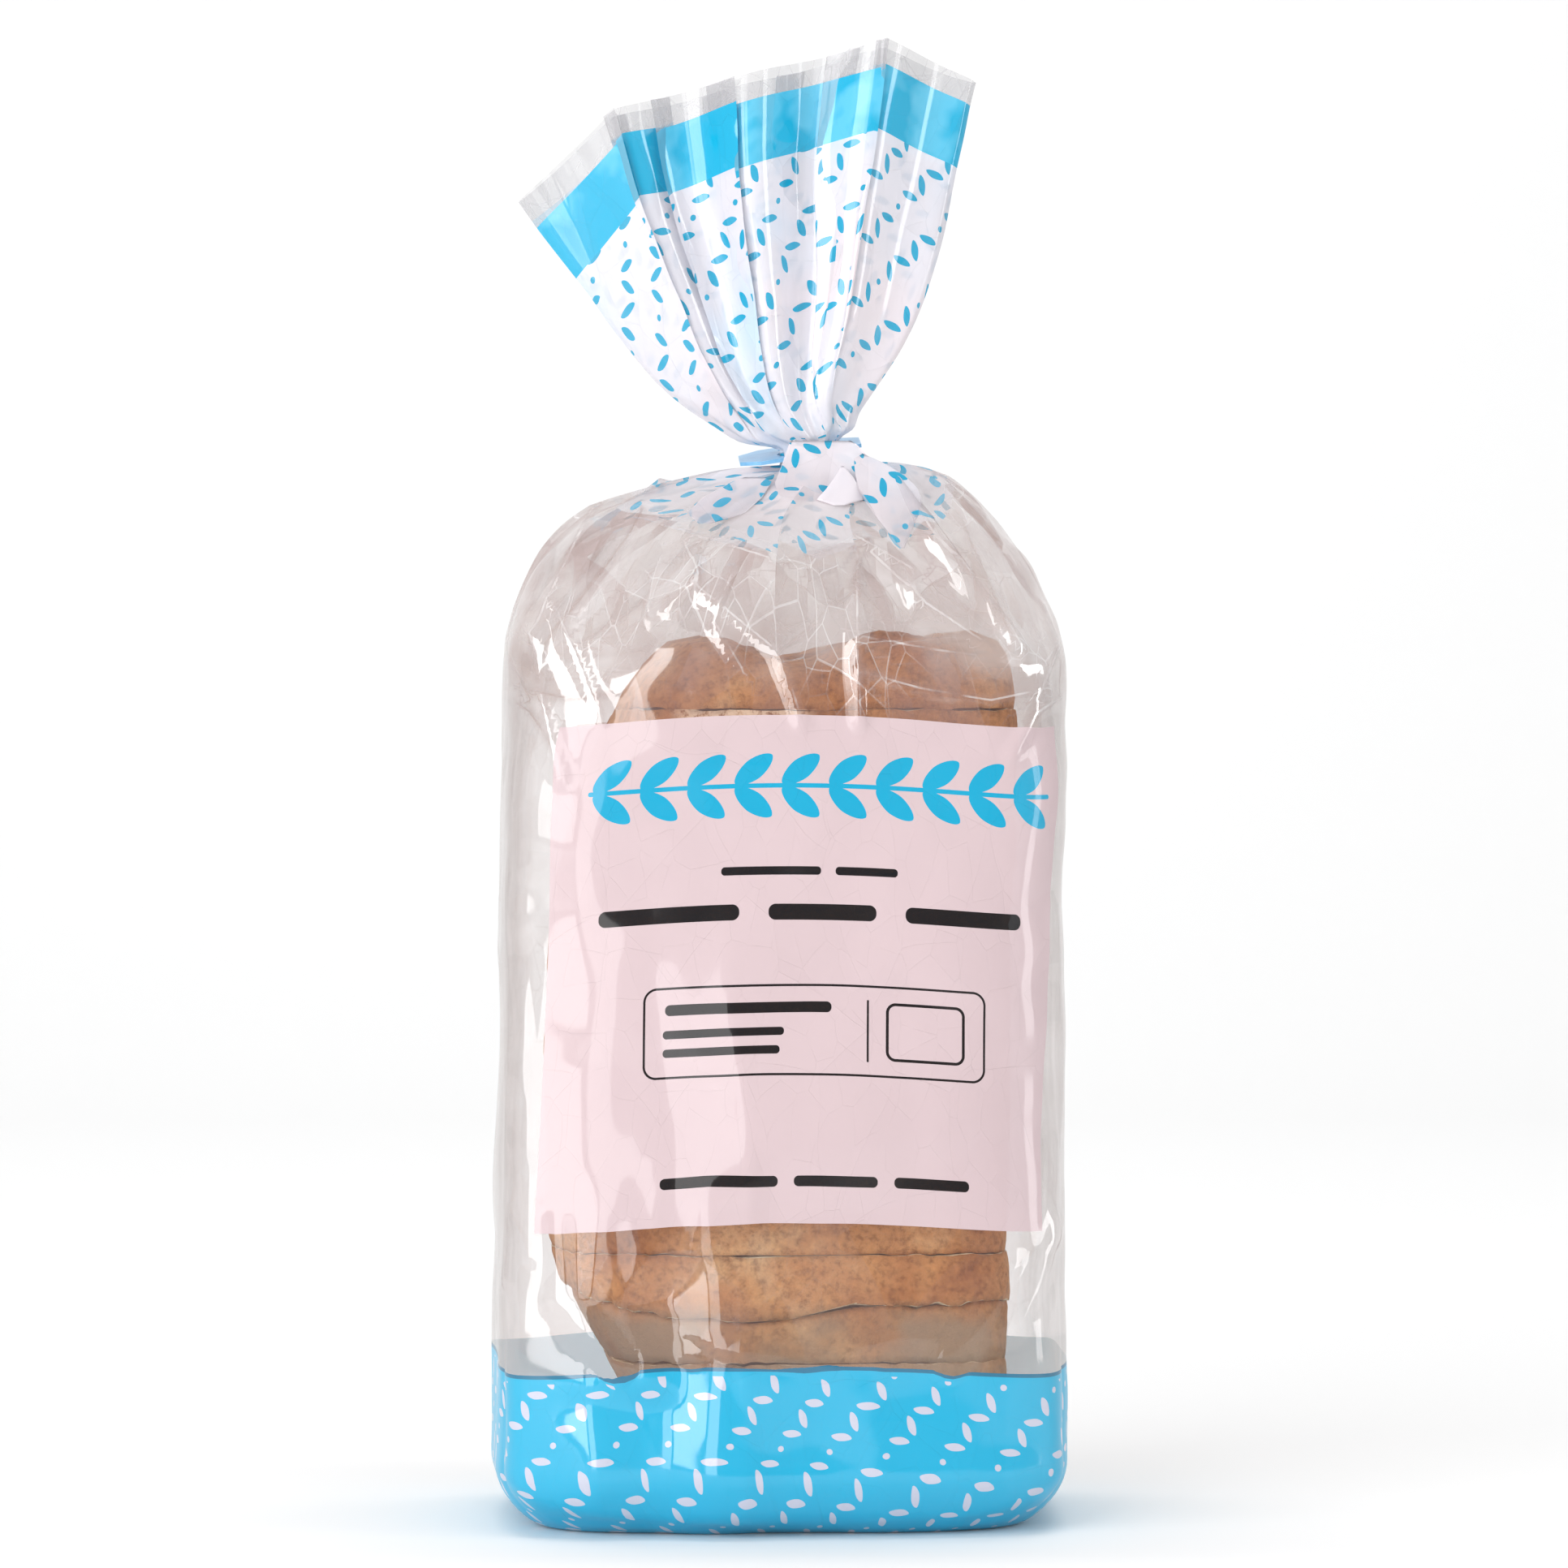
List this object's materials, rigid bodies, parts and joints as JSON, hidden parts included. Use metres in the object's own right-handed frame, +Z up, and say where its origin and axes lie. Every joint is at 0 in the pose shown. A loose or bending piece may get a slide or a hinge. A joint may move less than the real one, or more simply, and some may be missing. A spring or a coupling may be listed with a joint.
{
  "type": "loaf in bread bag",
  "caption": "Sliced sandwich loaf standing on end in a clear printed bread bag, the neck gathered in a flat plastic clip and the tail of the bag fanned out above it.",
  "frame": {"origin": "on the ground under the middle of the bag's body", "axes": "+Z up along the standing loaf, -Y out of the printed front of the bag, +X to the right seen from the front"},
  "size_m": [0.1404, 0.101, 0.3593],
  "materials": {
    "bag_film": "clear glossy film with printed bands, thinly wrinkled",
    "clip_plastic": "smooth moulded sheet with cut edges",
    "crust": "matt baked crust, golden brown and uneven",
    "crumb": "matt open crumb of white bread"
  },
  "bodies": {
    "root": {"bag": "bag_film", "clip": "clip_plastic"}
  },
  "joints": []
}
